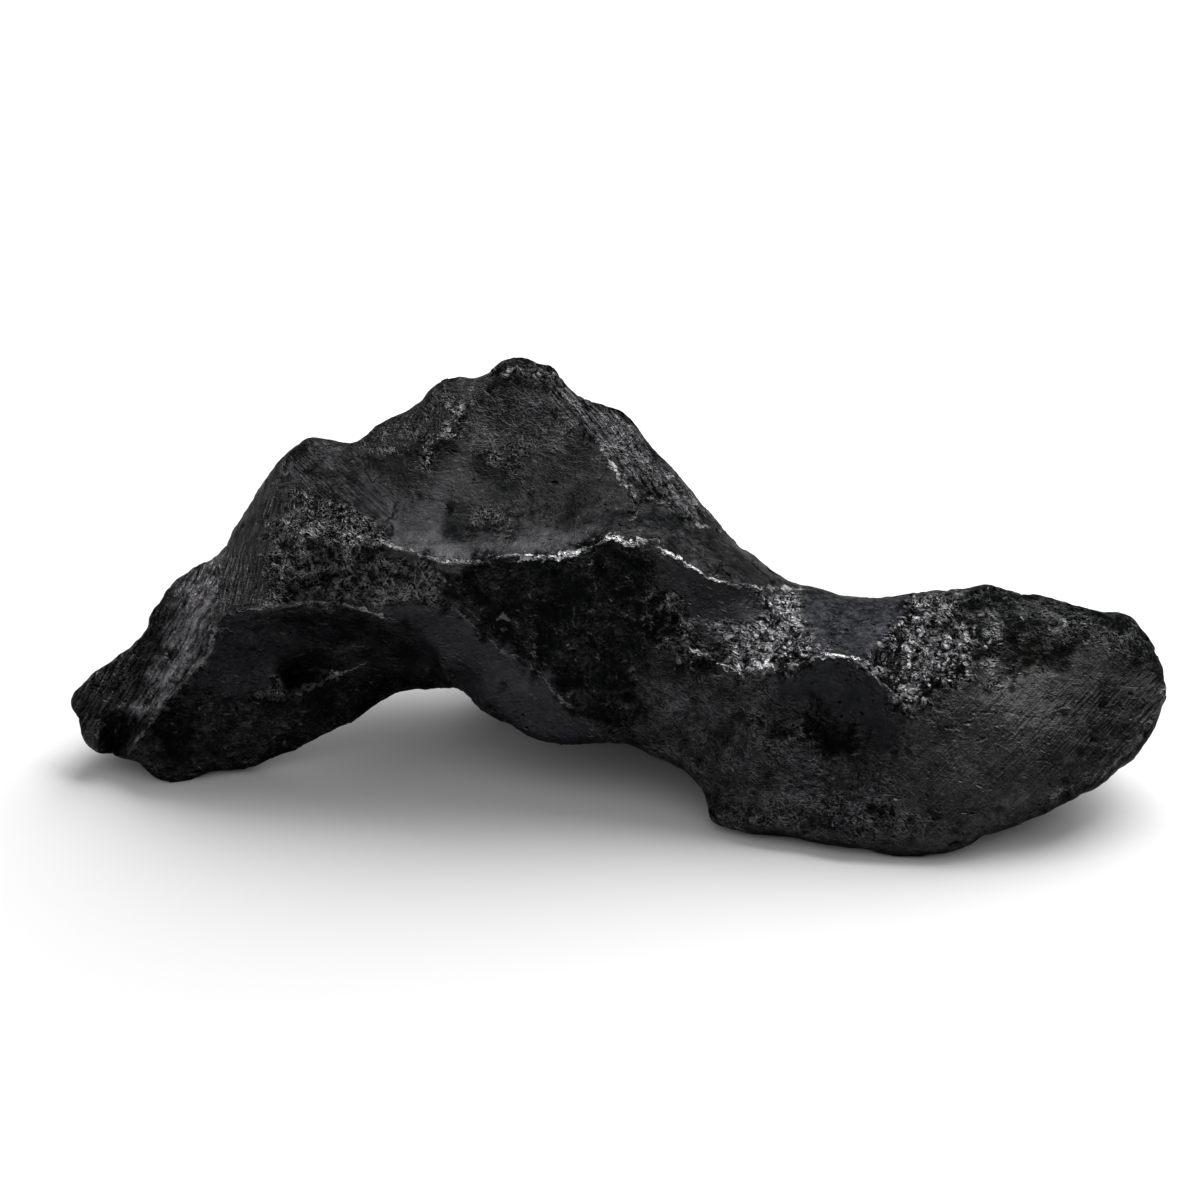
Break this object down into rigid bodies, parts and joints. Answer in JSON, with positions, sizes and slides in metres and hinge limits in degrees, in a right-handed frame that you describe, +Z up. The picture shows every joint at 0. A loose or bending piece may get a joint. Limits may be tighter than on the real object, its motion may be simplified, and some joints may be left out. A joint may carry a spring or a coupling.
{
  "type": "iron meteorite fragment",
  "caption": "Irregular dark lump of solid iron with an arched underside, a broad hollow on top, sharp crests and a pitted, thumb-printed surface.",
  "frame": {"origin": "on the resting surface, under the middle of the lump's bounding box", "axes": "+X along the lump's length from the thin leg to the thick block, +Y away from the viewer, +Z up"},
  "size_m": [0.1008, 0.0446, 0.0338],
  "materials": {
    "iron": "dark weathered iron, half matt, with worn bright crests"
  },
  "bodies": {
    "root": {"iron_fragment": "iron"}
  },
  "joints": []
}
